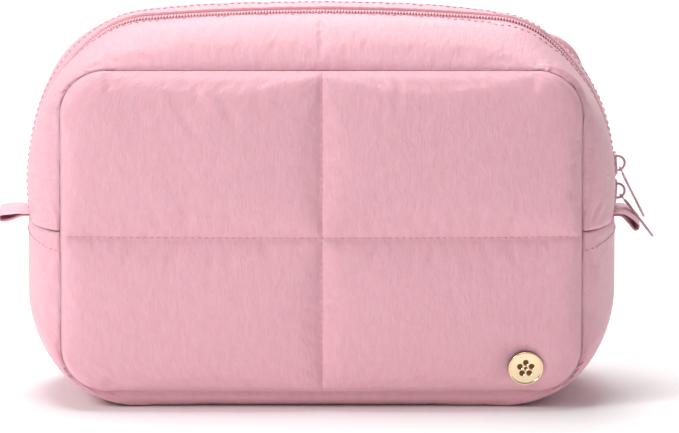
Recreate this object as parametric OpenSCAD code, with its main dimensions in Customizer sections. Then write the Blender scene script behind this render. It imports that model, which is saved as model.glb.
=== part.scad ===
// A padded makeup bag: two quilted panels joined by a zipped gusset over the top and a base gusset below.
// +X is to the right seen from the front, the front faces -Y, and the bag stands on Z = 0.

/* [Bag] */
// Width over the bulging sides
bag_w = 260; // [254:1:268]
// Height of the crown above the surface
bag_h = 173; // [171:1:176]
// Distance between the front and the rear panel seam
seam_d = 84; // [76:1:96]
// Height of the side seams, where the zipped gusset meets the base gusset
side_z = 80; // [78:1:82]

/* [Panels] */
// Width of a panel inside its seam
panel_w = 231; // [225:1:235]
// Height of a panel inside its seam
panel_h = 144; // [142:1:146]
// Height of the lower panel seam above the surface
panel_z = 8; // [6:1:10]
// Corner radius of a panel
panel_r = 20; // [16:1:24]
// Height of the quilted crease that crosses a panel
quilt_z = 78; // [76:1:78]
// How far a quilted cushion stands out from the panel seam
cushion_d = 6.5; // [5:0.5:8]

/* [Layers] */
// Outer fabric
skin_t = 1; // [0.8:0.1:1.2]
// Wadding
wadding_t = 4.5; // [3.5:0.1:5]
// Lining
lining_t = 0.8; // [0.6:0.1:1]

/* [Zip] */
// Radius of the chain's centre line beside the parked sliders
side_arc_r = 81.5; // [80:0.5:83]
// Radius of the tighter bend above it
shoulder_r = 40; // [38:1:42]
// Angle at which the side arc runs into the tighter bend
shoulder_a = 49; // [47:1:49]
// Radius of one coil
coil_r = 1.2; // [1:0.1:1.2]
// Half of the open width between the two gussets, which the tapes fill
tape_half = 9; // [8:0.5:10]
// Length of a slider, as an angle of the side arc
slider_a = 6.7; // [6:0.1:6.8]
// Radius of a crown's bent wire, to the wire's middle
crown_r = 3.2; // [3:0.1:3.4]
// Length of a pull beyond its crown
pull_l = 23.5; // [20:0.5:26]

/* [Loops] */
// Width of a loop's strap
loop_w = 25; // [15:1:30]
// How far a loop stands out of the side seam
loop_l = 13; // [10:1:16]

/* [Medallion] */
// Diameter of the medallion
medallion_d = 15.6; // [12:0.2:18]

/* [Hidden] */
gap = 0.3;                          // between pieces that move apart
touch = 0.05;                       // between pieces that lie on each other
seam_y = seam_d / 2;
half_w = bag_w / 2;
panel_top = panel_z + panel_h;
shoulder_z = panel_top - panel_r;   // where the panel's corner starts
lower_r = 48;                       // lower corners of the silhouette
fullness = 3.5;                     // exponent of the silhouette's upper half
wall_t = skin_t + wadding_t + lining_t;
zip_thin = 0.38;                    // a gusset's thickness at the zip, as a share of the full one
hinge_y = -seam_y - 1.15;           // the outermost line of the quilted crease
tip_over = 1.12;                    // how far a section's control points overshoot the crest
press_down = 1.35;                  // the same underneath, where the surface flattens the bag
side_over = 1.02;                   // and at the sides of the base gusset
crest_in = 0.55;                    // the inner control point's place, as a share of seam_y
rise_w = 9;                         // width of a cushion's rounded border
slice = 0.01;                       // thickness of the outlines that a cushion is stretched over
lining_in = 0.5;                    // from the gussets' walls to a panel's lining
crown_z = bag_h - 2.2;              // height of the chain on the bag's middle
corner_x = 98;                      // where the top turns into an upper corner
chain_in = 1;                       // from the silhouette's side to the chain
side_arc_up = 16.6;                 // centre of the side arc above the side seams
zip_lift = 0.8;                     // a gusset's edge outside the chain's line

// centres and angles of the three arcs that the chain follows
side_c = [half_w - chain_in - side_arc_r, side_z + side_arc_up];
shoulder_c = side_c + (side_arc_r - shoulder_r) * [cos(shoulder_a), sin(shoulder_a)];
shoulder_drop = crown_z - shoulder_c[1];
top_r = (shoulder_c[0] ^ 2 + shoulder_drop ^ 2 - shoulder_r ^ 2) / 2 / (shoulder_drop - shoulder_r);
top_c = [0, crown_z - top_r];
top_a = atan2(top_r - shoulder_drop, shoulder_c[0]);

part_rise = 42;                     // from the crease to the parting plane's height at the chain
part_a = 15.4;                      // angle where the fixed ends of the zip meet the flaps
part_gap_a = 0.15;                  // half of the gap there
stop_a = -9.9;                      // lower end of the chain
stop_len = 1.6;                     // length of an end stop, in degrees
stop_t = 2.8;
stop_w = 6;
coil_low = stop_a + stop_len + 0.1;
coil_y = coil_r + 0.6;              // from the chain's middle to a coil's middle
tape_t = 0.5;
tape_in = coil_y + coil_r + touch;
tape_out = tape_half - touch;
upper_a = 4.3;                      // middle of the upper slider
lower_a = -4.5;                     // middle of the lower slider
plate_in = 1.6;                     // a slider's plates, from the chain's middle
plate_out = 2.9;
slot_half = 0.6;                    // half height of the slots that the tapes run in
slider_half_w = 4.7;
lip_t = 0.8;
wedge = 0.28;                       // half thickness of the wedge between the coils

crown_wire = 0.55;
foot_r = 0.8;                       // a crown's feet, sunk into the slider's plate
foot_depth = 0.6;
crown_x = side_c[0] + side_arc_r + plate_out;
pull_t = 0.9;
pull_w = 3.6;
pull_side = 2.4;                    // the two pulls hang side by side
neck_l = 3;                         // from an eye to the bar's full offset
eye_r = 0.9;
eye_rim = 1.5;
upper_lean = 26.5;                  // angle of a hanging pull from straight down
lower_lean = 37;

strap_t = 1.1;
loop_half = 2.4;                    // half thickness of a folded loop
loop_root = [half_w + gap + loop_half, side_z + 1.6];
left_droop = 12;
right_droop = 45;

medallion = [90.3, -seam_y - cushion_d + 0.6, 19.8];
medallion_tilt = [10, 0, 5];
shank_r = 1.2;
shank_back = 0.5;                   // from the panel seam to the shank's clinched end
washer_r = 5;
washer_t = 0.6;
face_t = 1.5;
rim_h = 2.2;
rim_w = 0.9;

flap_rows = 36;
end_rows = 3;
base_rows = 30;
columns = 6;

function mix(a, b, t) = a + (b - a) * t;
function on_circle(c, r, a) = c + r * [cos(a), sin(a)];
function bezier(p, t) = (1 - t) ^ 3 * p[0] + 3 * (1 - t) ^ 2 * t * p[1] + 3 * (1 - t) * t ^ 2 * p[2] + t ^ 3 * p[3];

// Three outlines seen from the front, each as a function of a place u along the bag's edge:
// 0 is the middle of the top, 1 to 2 an upper corner, 3 the side seam, 4 to 5 a lower corner and 6 the middle
// of the bottom. The left half has u below 0, and u beyond 6 carries on up the left side.
function wrapped(u) = u > 6 ? u - 12 : u;
function mirrored(p, u) = [sign(wrapped(u)) * p[0], p[1]];

function panel_half(u) =
    u <= 1 ? [u * (panel_w / 2 - panel_r), panel_top] :
    u <= 2 ? on_circle([panel_w / 2 - panel_r, shoulder_z], panel_r, 90 * (2 - u)) :
    u <= 3 ? [panel_w / 2, mix(shoulder_z, side_z, u - 2)] :
    u <= 4 ? [panel_w / 2, mix(side_z, panel_z + panel_r, u - 3)] :
    u <= 5 ? on_circle([panel_w / 2 - panel_r, panel_z + panel_r], panel_r, 90 * (4 - u)) :
    [(6 - u) * (panel_w / 2 - panel_r), panel_z];

function crest_z(x) = side_z + (bag_h - side_z) * (1 - (x / half_w) ^ fullness) ^ (1 / fullness);
function crest_x(z) = half_w * (1 - ((z - side_z) / (bag_h - side_z)) ^ fullness) ^ (1 / fullness);
function crest_half(u) =
    u <= 1 ? [u * corner_x, crest_z(u * corner_x)] :
    u <= 2 ? let (x = corner_x + (crest_x(shoulder_z) - corner_x) * sin(90 * (u - 1))) [x, crest_z(x)] :
    u <= 3 ? let (z = mix(shoulder_z, side_z, u - 2)) [crest_x(z), z] :
    u <= 4 ? [half_w, mix(side_z, lower_r, u - 3)] :
    u <= 5 ? on_circle([half_w - lower_r, lower_r], lower_r, 90 * (4 - u)) :
    [(6 - u) * (half_w - lower_r), 0];

function side_arc_x(z) = side_c[0] + sqrt(side_arc_r ^ 2 - (z - side_c[1]) ^ 2);
side_top_a = asin((shoulder_z - side_c[1]) / side_arc_r);
corner_a = acos((corner_x - shoulder_c[0]) / shoulder_r);
side_len = (shoulder_a - side_top_a) * side_arc_r;
corner_len = side_len + (corner_a - shoulder_a) * shoulder_r;
function zip_corner(s) =
    s < side_len ? on_circle(side_c, side_arc_r, side_top_a + s / side_arc_r) :
    on_circle(shoulder_c, shoulder_r, shoulder_a + (s - side_len) / shoulder_r);
function zip_top(x) =
    x > shoulder_c[0] + shoulder_r * cos(top_a)
    ? shoulder_c[1] + sqrt(shoulder_r ^ 2 - (x - shoulder_c[0]) ^ 2)
    : top_c[1] + sqrt(top_r ^ 2 - x ^ 2);
function zip_half(u) =
    u <= 1 ? [u * corner_x, zip_top(u * corner_x)] :
    u <= 2 ? zip_corner((2 - u) * corner_len) :
    let (z = mix(shoulder_z, side_z, u - 2)) [side_arc_x(z), z];

function panel_line(u) = mirrored(panel_half(abs(wrapped(u))), u);
function crest_line(u) = mirrored(crest_half(abs(wrapped(u))), u);
function zip_line(u) = mirrored(zip_half(abs(wrapped(u))), u);
function outward(u) = let (d = crest_line(u + 0.02) - crest_line(u - 0.02)) [-d[1], d[0]] / norm(d);

// A gusset's section from the panel seam (q = 0) to the zip or the bag's middle (q = 1), t below its surface
function section(rim, crest, end, y_end) = [
    [rim[0], -seam_y + touch, rim[1]],
    [crest[0], -seam_y + 1, crest[1]],
    [crest[0], -seam_y * crest_in, crest[1]],
    [end[0], y_end, end[1]]
];
function zip_band_at(u, q, t) =
    let (rim = panel_line(u), n = outward(u), over = rim + tip_over * (crest_line(u) - rim))
    bezier(section(rim - t * n, over - t * n, zip_line(u) + (zip_lift - zip_thin * t) * n, -tape_half - gap), q);
function base_band_at(u, q, t) =
    let (rim = panel_line(u), n = outward(u), under = min(max(abs(wrapped(u)) - 4, 0), 1),
         over = rim + mix(side_over, press_down, under) * (crest_line(u) - rim),
         p = bezier(section(rim - t * n, over - t * n, crest_line(u) - t * n, 0), q))
    [p[0], p[1], max(p[2], t)];

// The flaps part from the fixed ends on a plane that rises from the crease to the zip
part_slope = part_rise / (-hinge_y);
function side_u(z) = 3 - (z - side_z) / (shoulder_z - side_z);
function part_z(y) = max(side_z + 3 * gap, quilt_z + (y - hinge_y) * part_slope + gap);
function band_y(q) = bezier([-seam_y, -seam_y + 1, -seam_y * crest_in, -tape_half - gap], q);

// A closed layer between t0 and t1 below a surface, where at(i, j, t) is a point of it for i and j from 0 to 1
module layer(rows, cols, at, t0, t1) {
    count = (rows + 1) * (cols + 1);
    id = function (s, i, j) s * count + i * (cols + 1) + j;
    quad = function (a, b, c, d) [[a, b, c], [a, c, d]];
    points = [for (t = [t0, t1], i = [0:rows], j = [0:cols]) at(i / rows, j / cols, t)];
    faces = concat(
        [for (i = [0:rows - 1], j = [0:cols - 1])
            each quad(id(0, i, j), id(0, i, j + 1), id(0, i + 1, j + 1), id(0, i + 1, j))],
        [for (i = [0:rows - 1], j = [0:cols - 1])
            each [[id(1, i, j), id(1, i + 1, j + 1), id(1, i, j + 1)],
                  [id(1, i, j), id(1, i + 1, j), id(1, i + 1, j + 1)]]],
        [for (i = [0:rows - 1])
            each concat(quad(id(0, i, 0), id(0, i + 1, 0), id(1, i + 1, 0), id(1, i, 0)),
                        quad(id(0, i, cols), id(1, i, cols), id(1, i + 1, cols), id(0, i + 1, cols)))],
        [for (j = [0:cols - 1])
            each concat(quad(id(0, 0, j), id(1, 0, j), id(1, 0, j + 1), id(0, 0, j + 1)),
                        quad(id(0, rows, j), id(0, rows, j + 1), id(1, rows, j + 1), id(1, rows, j)))]);
    polyhedron(points = points, faces = faces);
}

module zip_band_layer(t0, t1) {
    at = function (i, j, t) let (reach = side_u(part_z(band_y(j)))) zip_band_at(mix(-reach, reach, i), j, t);
    layer(flap_rows, columns, at, t0, t1);
}

module zip_band_end(t0, t1) {
    low = side_u(side_z + touch);
    at = function (i, j, t) zip_band_at(mix(side_u(part_z(band_y(j)) - gap), low, i), j, t);
    layer(end_rows, columns, at, t0, t1);
    mirror([1, 0, 0]) layer(end_rows, columns, at, t0, t1);
}

module base_layer(t0, t1) {
    low = side_u(side_z - touch);
    at = function (i, j, t)
        let (u = mix(low, 12 - low, i), p = base_band_at(u, 1 - abs(1 - 2 * j), t))
        [p[0], j < 0.5 ? p[1] : -p[1], p[2]];
    layer(base_rows, 2 * columns, at, t0, t1);
}

module rear() {
    mirror([0, 1, 0]) children();
}

// One cushion of a panel: stacked outlines, each inset by e and standing out by y
function cushion_outline(upper, e) =
    let (s = upper ? 1 : -1, near = quilt_z + s * gap / 2, far = upper ? panel_top : panel_z, r = panel_r - e)
    concat([[e, near + s * e], [panel_w / 2 - e, near + s * e]],
           [for (a = [0:15:90]) on_circle([panel_w / 2 - panel_r, far - s * panel_r], r, s * a)],
           [[e, far - s * e]]);

module cushion(upper, steps) {
    hull()
        for (step = steps)
            translate([0, -seam_y - step[1], 0])
                rotate([90, 0, 0])
                    linear_extrude(slice)
                        polygon(cushion_outline(upper, step[0]));
}

module cushion_pair(upper, steps) {
    cushion(upper, steps);
    mirror([1, 0, 0]) cushion(upper, steps);
}

skin_steps = [[0, 0], [0, skin_t], [rise_w / 3, 0.6 * cushion_d], [rise_w, cushion_d - slice]];
wadding_steps = [for (step = skin_steps) if (step[0] > 0 || step[1] == 0)
    [step[0] + skin_t, max(step[1] - skin_t, -touch)]];

module panel_skin(upper) {
    difference() {
        cushion_pair(upper, skin_steps);
        cushion_pair(upper, wadding_steps);
    }
}

module panel_wadding(upper) {
    intersection() {
        cushion_pair(upper, wadding_steps);
        translate([-half_w, -2 * seam_y, 0]) cube([bag_w, seam_y, bag_h]);
    }
}

// The lining lies inside the gussets' walls
module panel_lining(upper) {
    s = upper ? 1 : -1;
    inset = wall_t + lining_in;
    w = panel_w - 2 * inset;
    far = upper ? panel_top - inset : panel_z + inset;
    near = quilt_z + s * gap / 2;
    r = panel_r - inset;
    translate([0, -seam_y + lining_t + touch, 0])
        rotate([90, 0, 0])
            linear_extrude(lining_t)
                union() {
                    translate([-w / 2, min(near, far - s * r)]) square([w, abs(far - s * r - near)]);
                    translate([-w / 2 + r, min(far, far - s * r)]) square([w - 2 * r, r]);
                    for (side = [-1, 1]) translate([side * (w / 2 - r), far - s * r]) circle(r, $fn = 48);
                }
}

// Sweeps a flat profile along the zip: its x is away from the chain's middle and its y is towards the front
module along_arc(c, r, from, to) {
    translate([c[0], 0, c[1]])
        rotate([90, 0, 0])
            rotate([0, 0, from])
                rotate_extrude(angle = to - from, $fn = 180)
                    translate([r, 0]) children();
}

module both_ends(from, to) {
    for (side = [0, 1])
        mirror([side, 0, 0]) along_arc(side_c, side_arc_r, from, to) children();
}

// Stations of the chain from one parting over the top to the other, each a centre, a radius and an angle
function stations(c, r, from, to, n) = [for (i = [1:n]) [c, r, mix(from, to, i / n)]];
half_chain = concat(
    [[side_c, side_arc_r, part_a + part_gap_a]],
    stations(side_c, side_arc_r, part_a + part_gap_a, shoulder_a, 9),
    stations(shoulder_c, shoulder_r, shoulder_a, top_a, 8),
    stations(top_c, top_r, top_a, 90, 6));
whole_chain = concat(
    half_chain,
    [for (i = [len(half_chain) - 2:-1:0])
        let (s = half_chain[i]) [[-s[0][0], s[0][1]], s[1], 180 - s[2]]]);

// Sweeps a profile's points along those stations
module over_the_top(profile) {
    n = len(profile);
    last = len(whole_chain) - 1;
    points = [for (s = whole_chain, p = profile)
        let (q = on_circle(s[0], s[1] + p[0], s[2])) [q[0], -p[1], q[1]]];
    sides = [for (i = [0:last - 1], j = [0:n - 1])
        let (a = i * n + j, b = i * n + (j + 1) % n) each [[a, b, b + n], [a, b + n, a + n]]];
    polyhedron(
        points = points,
        faces = concat(sides, [[for (j = [n - 1:-1:0]) j], [for (j = [0:n - 1]) last * n + j]]));
}

coil_points = [for (a = [0:30:330]) on_circle([0, coil_y], coil_r, a)];
tape_points = [[-tape_t / 2, tape_in], [tape_t / 2, tape_in], [tape_t / 2, tape_out], [-tape_t / 2, tape_out]];

module zip_tape() { color("#F3BECA") over_the_top(tape_points); }
module tape_ends() { color("#F3BECA") both_ends(stop_a, part_a - part_gap_a) polygon(tape_points); }
module zip_coil() { color("#EFB4C2") over_the_top(coil_points); }
module coil_ends() {
    color("#EFB4C2")
        both_ends(coil_low, part_a - part_gap_a)
            translate([0, coil_y]) circle(coil_r, $fn = 32);
}

module zip_end_stops() {
    color("#C98F9C")
        both_ends(stop_a, stop_a + stop_len)
            square([stop_t, stop_w], center = true);
}

// Two plates joined by a thin wedge that runs between the coils, with lips over the tapes
module slider(middle) {
    lip = slider_half_w - lip_t;
    quarter = [[plate_out, slider_half_w], [slot_half, slider_half_w], [slot_half, lip],
               [plate_in, lip], [plate_in, wedge]];
    back = [for (i = [4:-1:0]) quarter[i]];
    color("#B08A93")
        along_arc(side_c, side_arc_r, middle - slider_a / 2, middle + slider_a / 2)
            polygon(concat(quarter,
                           [for (p = back) [-p[0], p[1]]],
                           [for (p = quarter) [-p[0], -p[1]]],
                           [for (p = back) [p[0], -p[1]]]));
}

function crown_c(middle) = [crown_x, side_c[1] + side_arc_r * sin(middle)];

module slider_crown(middle) {
    c = crown_c(middle);
    color("#A97F89") {
        along_arc(c, crown_r, -90, 90) circle(crown_wire, $fn = 24);
        for (side = [-1, 1])
            translate([c[0] - foot_depth, 0, c[1] + side * crown_r])
                rotate([0, 90, 0]) cylinder(h = foot_depth + 0.3, r = foot_r, $fn = 24);
    }
}

// A flat bar with an eye on the crown's wire, standing out of the crown's middle at an angle from straight down
module pull(middle, lean, offset_y) {
    c = crown_c(middle);
    tip = crown_r + pull_l;
    color("#B08A93")
        translate([c[0], 0, c[1]])
            rotate([0, 90 - lean, 0])
                translate([0, 0, -pull_t / 2])
                    difference() {
                        union() {
                            translate([crown_r, 0, 0]) cylinder(h = pull_t, r = eye_rim, $fn = 48);
                            linear_extrude(pull_t)
                                polygon([
                                    [crown_r + 0.2, -eye_rim],
                                    [crown_r + 0.2, eye_rim],
                                    [crown_r + neck_l, offset_y + pull_w / 2],
                                    [tip - pull_w / 2, offset_y + pull_w / 2],
                                    [tip - pull_w / 2, offset_y - pull_w / 2],
                                    [crown_r + neck_l, offset_y - pull_w / 2]
                                ]);
                            translate([tip - pull_w / 2, offset_y, 0]) cylinder(h = pull_t, r = pull_w / 2, $fn = 48);
                        }
                        translate([crown_r, 0, -1]) cylinder(h = pull_t + 2, r = eye_r, $fn = 48);
                    }
}

// A strap folded back on itself and sewn into the side seam, round at its root so that it can flex there
module loop_outline(r) {
    translate([0, -r]) square([loop_l - 2 * loop_half, 2 * r]);
    for (x = [0, loop_l - 2 * loop_half]) translate([x, 0]) circle(r, $fn = 48);
}

module loop(droop) {
    color("#E9A9B6")
        translate([loop_root[0], 0, loop_root[1]])
            rotate([90, droop, 0])
                translate([0, 0, -loop_w / 2])
                    linear_extrude(loop_w)
                        difference() {
                            loop_outline(loop_half);
                            loop_outline(loop_half - strap_t);
                        }
}

// On the medallion, +Z is its outward normal and Z = 0 its back
module on_medallion() {
    translate(medallion) rotate(medallion_tilt) rotate([90, 0, 0]) children();
}

module medallion_pocket() {
    on_medallion() cylinder(h = 12, r = medallion_d / 2 + touch, $fn = 64);
    translate([medallion[0], 0, medallion[2]])
        rotate([90, 0, 0]) cylinder(h = 2 * seam_y, r = shank_r + touch, $fn = 32);
}

module base_band() { color("#C98391") base_layer(0, skin_t); }
module base_wadding() { color("#F7F1EE") base_layer(skin_t, skin_t + wadding_t); }
module base_lining() { color("#E7A3B1") base_layer(skin_t + wadding_t, wall_t); }

module front_panel_lower() {
    color("#E3AFBA")
        difference() {
            panel_skin(false);
            medallion_pocket();
        }
}
module front_wadding_lower() {
    color("#F7F1EE")
        difference() {
            panel_wadding(false);
            medallion_pocket();
        }
}
module front_lining_lower() {
    color("#E7A3B1")
        difference() {
            panel_lining(false);
            translate([medallion[0], 0, medallion[2]])
                rotate([90, 0, 0]) cylinder(h = bag_h, r = washer_r + touch, $fn = 48);
        }
}
module front_panel_upper() { color("#E6B4BF") panel_skin(true); }
module front_wadding_upper() { color("#F7F1EE") panel_wadding(true); }
module front_lining_upper() { color("#E7A3B1") panel_lining(true); }

module back_panel_lower() { color("#E3AFBA") rear() panel_skin(false); }
module back_wadding_lower() { color("#F7F1EE") rear() panel_wadding(false); }
module back_lining_lower() { color("#E7A3B1") rear() panel_lining(false); }
module back_panel_upper() { color("#E6B4BF") rear() panel_skin(true); }
module back_wadding_upper() { color("#F7F1EE") rear() panel_wadding(true); }
module back_lining_upper() { color("#E7A3B1") rear() panel_lining(true); }

module front_zip_band() { color("#F6CAD3") zip_band_layer(0, skin_t); }
module front_band_wadding() { color("#F7F1EE") zip_band_layer(skin_t, skin_t + wadding_t); }
module front_band_lining() { color("#E7A3B1") zip_band_layer(skin_t + wadding_t, wall_t); }
module front_band_ends() { color("#F1C0CB") zip_band_end(0, wall_t); }
module rear_zip_band() { color("#F6CAD3") rear() zip_band_layer(0, skin_t); }
module rear_band_wadding() { color("#F7F1EE") rear() zip_band_layer(skin_t, skin_t + wadding_t); }
module rear_band_lining() { color("#E7A3B1") rear() zip_band_layer(skin_t + wadding_t, wall_t); }
module rear_band_ends() { color("#F1C0CB") rear() zip_band_end(0, wall_t); }

module front_zip_tape() { zip_tape(); }
module front_tape_ends() { tape_ends(); }
module front_coil() { zip_coil(); }
module front_coil_ends() { coil_ends(); }
module rear_zip_tape() { rear() zip_tape(); }
module rear_tape_ends() { rear() tape_ends(); }
module rear_coil() { rear() zip_coil(); }
module rear_coil_ends() { rear() coil_ends(); }

module upper_slider() { slider(upper_a); }
module upper_slider_crown() { slider_crown(upper_a); }
module upper_pull() { pull(upper_a, upper_lean, -pull_side); }
module lower_slider() { slider(lower_a); }
module lower_slider_crown() { slider_crown(lower_a); }
module lower_pull() { pull(lower_a, lower_lean, pull_side); }

module left_loop() { mirror([1, 0, 0]) loop(left_droop); }
module right_loop() { loop(right_droop); }

module medallion_face() {
    color("#F6E7B5")
        union() {
            on_medallion() cylinder(h = face_t, r = medallion_d / 2 - rim_w - touch, $fn = 64);
            translate([medallion[0], -seam_y + shank_back, medallion[2]])
                rotate([90, 0, 0]) cylinder(h = cushion_d + shank_back, r = shank_r, $fn = 32);
        }
}
module medallion_rim() {
    color("#E9D18E")
        on_medallion()
            difference() {
                cylinder(h = rim_h, r = medallion_d / 2, $fn = 64);
                translate([0, 0, -1]) cylinder(h = rim_h + 2, r = medallion_d / 2 - rim_w, $fn = 64);
            }
}
module medallion_washer() {
    color("#C9B68A")
        translate([medallion[0], -seam_y + washer_t + 2 * touch, medallion[2]])
            rotate([90, 0, 0])
                difference() {
                    cylinder(h = washer_t, r = washer_r, $fn = 48);
                    translate([0, 0, -1]) cylinder(h = washer_t + 2, r = shank_r + touch, $fn = 32);
                }
}

base_band();
base_wadding();
base_lining();
front_panel_lower();
front_wadding_lower();
front_lining_lower();
front_panel_upper();
front_wadding_upper();
front_lining_upper();
back_panel_lower();
back_wadding_lower();
back_lining_lower();
back_panel_upper();
back_wadding_upper();
back_lining_upper();
front_zip_band();
front_band_wadding();
front_band_lining();
front_band_ends();
rear_zip_band();
rear_band_wadding();
rear_band_lining();
rear_band_ends();
front_zip_tape();
front_tape_ends();
front_coil();
front_coil_ends();
rear_zip_tape();
rear_tape_ends();
rear_coil();
rear_coil_ends();
zip_end_stops();
upper_slider();
upper_slider_crown();
upper_pull();
lower_slider();
lower_slider_crown();
lower_pull();
left_loop();
right_loop();
medallion_face();
medallion_rim();
medallion_washer();
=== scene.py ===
import bpy
import math
import numpy as np
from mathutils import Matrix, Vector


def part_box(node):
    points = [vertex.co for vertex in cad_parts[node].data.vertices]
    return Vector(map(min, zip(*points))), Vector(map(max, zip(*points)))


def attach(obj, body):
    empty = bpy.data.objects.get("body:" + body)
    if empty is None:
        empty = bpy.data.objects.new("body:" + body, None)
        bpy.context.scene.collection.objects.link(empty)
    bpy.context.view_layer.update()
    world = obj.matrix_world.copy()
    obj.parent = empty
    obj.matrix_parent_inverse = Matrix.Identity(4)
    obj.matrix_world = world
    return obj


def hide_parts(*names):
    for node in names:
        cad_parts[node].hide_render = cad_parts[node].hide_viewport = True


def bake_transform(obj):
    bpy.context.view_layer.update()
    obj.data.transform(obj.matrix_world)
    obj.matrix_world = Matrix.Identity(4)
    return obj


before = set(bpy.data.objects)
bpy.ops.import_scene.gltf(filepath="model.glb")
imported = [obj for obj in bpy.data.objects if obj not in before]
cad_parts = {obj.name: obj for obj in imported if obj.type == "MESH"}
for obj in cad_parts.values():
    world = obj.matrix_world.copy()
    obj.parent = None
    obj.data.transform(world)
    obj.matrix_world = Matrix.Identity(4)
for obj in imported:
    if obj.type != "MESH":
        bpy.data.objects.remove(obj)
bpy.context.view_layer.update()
print("frame loaded:", len(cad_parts), "nodes")

# The shapes below are worked out in millimetres and turned into metres when a mesh is made.
metre = 0.001


def cadBox(node):
    low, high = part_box(node)
    return np.round(np.array(low) / metre, 2), np.round(np.array(high) / metre, 2)


baseHigh = cadBox("base_band")[1]
panelHigh = cadBox("front_panel_upper")[1]
lowerPanelLow = cadBox("front_panel_lower")[0]

bag = {
    "halfWidth": baseHigh[0],
    "height": 173.0,
    "sideSeam": 80.0,          # where the zipped gusset meets the base gusset
    "seamY": -panelHigh[1],    # from the middle to a panel's seam
    "panelHalf": panelHigh[0],
    "panelTop": panelHigh[2],
    "panelLow": lowerPanelLow[2],
    "panelCorner": 20.0,
    "quilt": 78.0,             # height of the crease across a panel
    "panelMiddle": 80.0,       # a panel's middle and half its height
    "panelReach": 72.0,
    "cornerX": 98.0,           # where the top turns into an upper corner
    "lowerCorner": 48.0,
    "fullLeft": 3.7,           # how square each upper corner is
    "fullRight": 3.1,
    "pad": 5.4,                # fabric and wadding
    "lining": 0.8,
}
chain = {
    "sideRadius": 81.5,
    "sideCentre": (bag["halfWidth"] - 1 - 81.5, bag["sideSeam"] + 16.6),
    "shoulderRadius": 40.0,
    "shoulderAngle": 49.0,
    "crown": 170.8,
    "stop": -9.9,              # angle of the chain's lower end on the side arc
    "edge": 9.3,               # from the chain's middle to a gusset's folded edge
}
badge = {
    "at": (90.3, -47.9, 19.8),
    "tilt": (10, 5),           # leaned down and turned to the right, in degrees
    "radius": 7.8,
    "high": 2.2,
    "rim": 0.9,
    "dimple": 12.0,            # the cushion is pressed in as far out as this
}
leant, turned = (math.radians(a) for a in badge["tilt"])
rotateX = np.array([[1, 0, 0], [0, math.cos(leant), -math.sin(leant)], [0, math.sin(leant), math.cos(leant)]])
rotateZ = np.array([[math.cos(turned), -math.sin(turned), 0],
                    [math.sin(turned), math.cos(turned), 0],
                    [0, 0, 1]])
badgeTurn = rotateZ @ rotateX
badgeOut = badgeTurn @ np.array([0, -1, 0])


def mix(a, b, t):
    return a + (b - a) * t


def unit(v):
    return v / np.maximum(np.linalg.norm(v, axis=-1, keepdims=True), 1e-9)


# The distance from the start of a path to each of its points
def lengthsAlong(path):
    return np.concatenate([[0], np.cumsum(np.linalg.norm(np.diff(path, axis=0), axis=-1))])


def onCircle(centre, radius, degrees):
    a = np.radians(degrees)
    return np.stack([centre[0] + radius * np.cos(a), centre[1] + radius * np.sin(a)], -1)


# Picks, for each a, the part whose whole number it lies in
def piecewise(a, parts):
    index = np.clip(np.floor(a), 0, len(parts) - 1)[..., None]
    return sum(np.where(index == i, part, 0.0) for i, part in enumerate(parts))


def point(x, z):
    return np.stack(np.broadcast_arrays(x, z), -1).astype(float)


# A place u on the bag's edge: 0 top middle, 1 to 2 upper corner, 3 side seam, 4 to 5 lower corner, 6 bottom
# middle; the left half is negative
def bothSides(half, u):
    w = np.where(u > 6, u - 12, u)
    p = half(np.abs(w), np.where(w < 0, bag["fullLeft"], bag["fullRight"]))
    return p * np.stack([np.sign(w), np.ones_like(w)], -1)


def panelHalf(a, fullness):
    w, r, top, low = bag["panelHalf"], bag["panelCorner"], bag["panelTop"], bag["panelLow"]
    return piecewise(a, [
        point(a * (w - r), top),
        onCircle((w - r, top - r), r, 90 * (2 - a)),
        point(w, mix(top - r, bag["sideSeam"], a - 2)),
        point(w, mix(bag["sideSeam"], low + r, a - 3)),
        onCircle((w - r, low + r), r, 90 * (4 - a)),
        point((6 - a) * (w - r), low)])


# Superellipse above the side seam: height is (1 - x^n)^(1/n)
def crestZ(x, n):
    t = np.clip(1 - np.clip(x / bag["halfWidth"], 0, 1) ** n, 0, 1)
    return bag["sideSeam"] + (bag["height"] - bag["sideSeam"]) * t ** (1 / n)


def crestX(z, n):
    t = np.clip((z - bag["sideSeam"]) / (bag["height"] - bag["sideSeam"]), 0, 1)
    return bag["halfWidth"] * np.clip(1 - t ** n, 0, 1) ** (1 / n)


def crestHalf(a, n):
    w, r, xc, zc = bag["halfWidth"], bag["lowerCorner"], bag["cornerX"], bag["panelTop"] - bag["panelCorner"]
    xCorner = xc + (crestX(zc, n) - xc) * np.sin(np.radians(90 * np.clip(a - 1, 0, 1)))
    zSide = mix(zc, bag["sideSeam"], a - 2)
    return piecewise(a, [
        point(a * xc, crestZ(a * xc, n)),
        point(xCorner, crestZ(xCorner, n)),
        point(crestX(zSide, n), zSide),
        point(w, mix(bag["sideSeam"], r, a - 3)),
        onCircle((w - r, r), r, 90 * (4 - a)),
        point((6 - a) * (w - r), 0)])


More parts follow.
